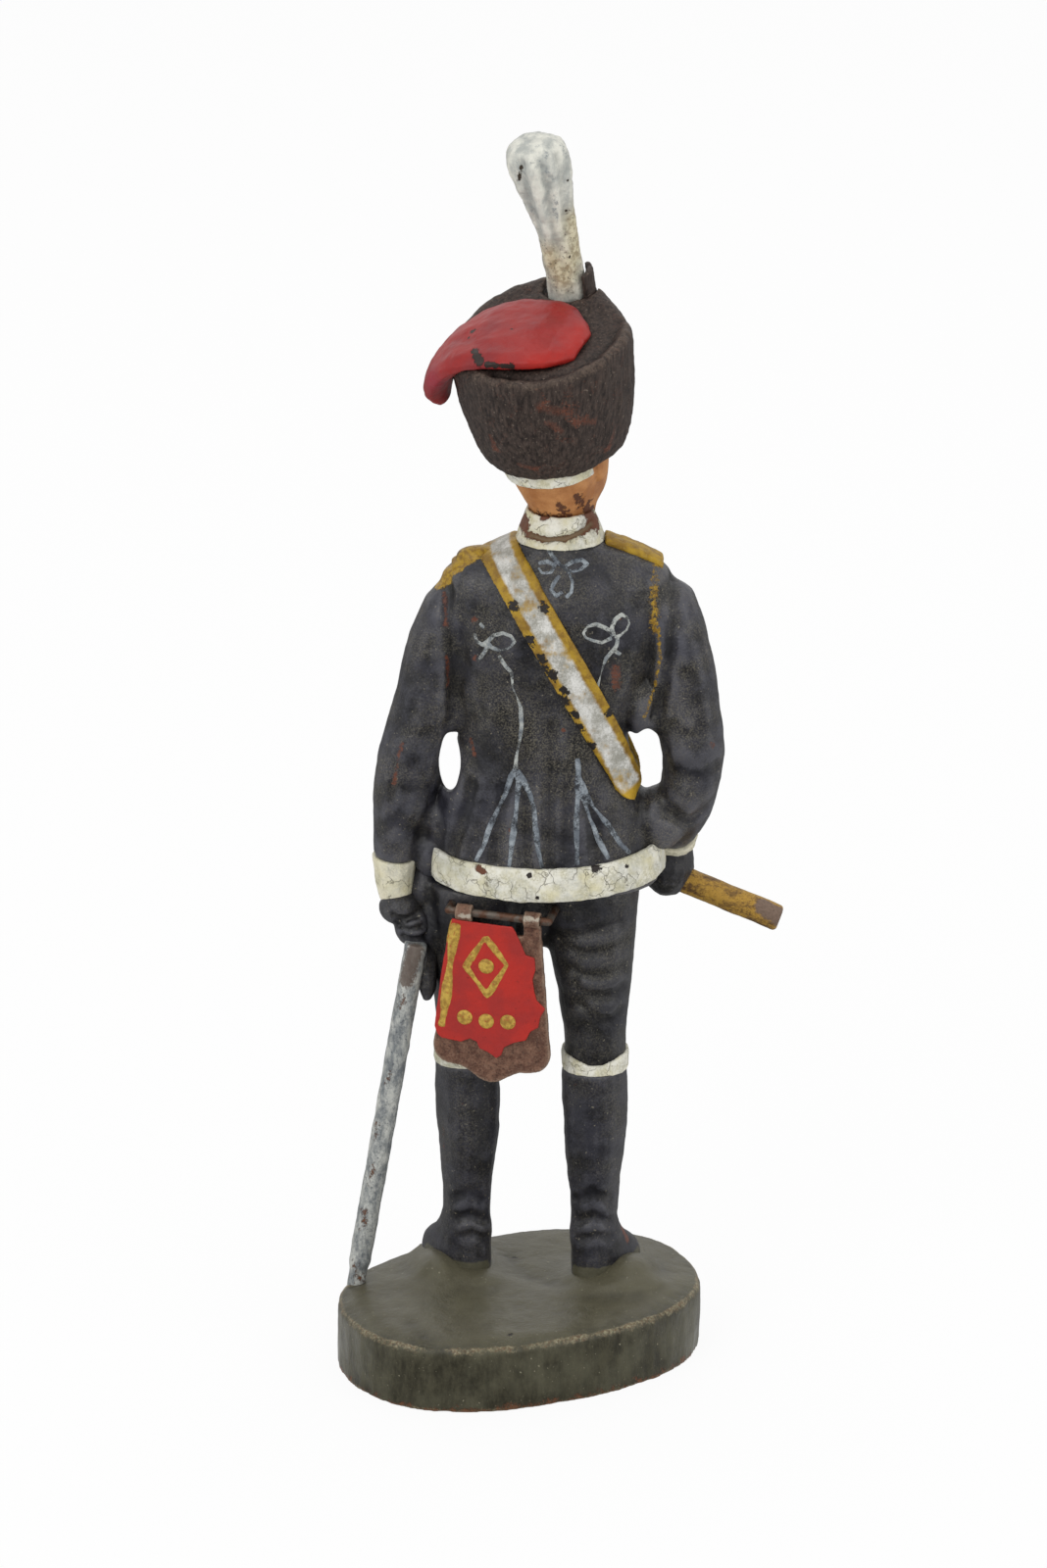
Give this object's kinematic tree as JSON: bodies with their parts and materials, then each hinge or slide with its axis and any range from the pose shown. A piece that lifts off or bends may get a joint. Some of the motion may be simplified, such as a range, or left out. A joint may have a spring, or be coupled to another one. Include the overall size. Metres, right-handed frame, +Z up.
{
  "type": "toy soldier figure",
  "caption": "Standing toy soldier in hussar dress with fur cap and plume, oval base, sabre scabbard, baton and a tin sabretache that swings on a wire.",
  "frame": {"origin": "centre of the oval base's underside", "axes": "+Z up from the base to the plume, the figure faces -Y, its left hand is on +X"},
  "size_m": [0.0329, 0.0218, 0.0922],
  "materials": {
    "painted_cloth": "satin blue-black paint, rubbed grey on the high places",
    "painted_leather": "satin black paint with small chips",
    "white_trim": "cracked off-white paint",
    "gold_belt": "mustard paint with a worn silver stripe",
    "silver_braid": "grey-white painted cord",
    "flesh": "tan paint with brown flaked patches",
    "brown_fur": "brown-black paint worn to red-brown",
    "red_bag": "red paint with black chips",
    "silver_plume": "silver-white paint with grey and yellow dirt",
    "olive_base": "olive grey paint, lighter at the worn edge",
    "rusty_tin": "rust-brown tinplate",
    "red_facing": "flaked red paint with gold ornament",
    "silver_scabbard": "mottled silver paint with rust chips",
    "gold_baton": "worn gold over brown",
    "iron_wire": "drawn iron wire"
  },
  "bodies": {
    "figure": {"base": "olive_base", "left_boot": "painted_leather", "right_boot": "painted_leather", "left_boot_band": "white_trim", "right_boot_band": "white_trim", "breeches": "painted_cloth", "jacket": "painted_cloth", "hem_trim": "white_trim", "collar": "white_trim", "pouch_belt": "gold_belt", "left_shoulder_cord": "gold_belt", "right_shoulder_cord": "gold_belt", "chest_braid": "silver_braid", "left_sleeve": "painted_cloth", "right_sleeve": "painted_cloth", "left_cuff": "white_trim", "right_cuff": "white_trim", "left_hand": "painted_leather", "right_hand": "painted_leather", "head": "flesh", "nape_band": "white_trim", "busby": "brown_fur", "busby_bag": "red_bag", "plume_socket": "painted_leather", "plume": "silver_plume", "sabretache_hanger": "iron_wire", "scabbard": "silver_scabbard", "baton": "gold_baton", "left_leg_wire": "iron_wire", "right_leg_wire": "iron_wire", "spine_wire": "iron_wire", "shoulder_wire": "iron_wire", "plume_wire": "iron_wire"},
    "sabretache": {"sabretache": "rusty_tin", "sabretache_facing": "red_facing"}
  },
  "joints": [
    {"name": "sabretache_swing", "type": "hinge", "parent": "figure", "child": "sabretache", "pos_m": [0.00151, 0.00242, 0.03552], "axis": [0.9771, -0.2077, 0.0471], "range_deg": [-5, 140]}
  ]
}
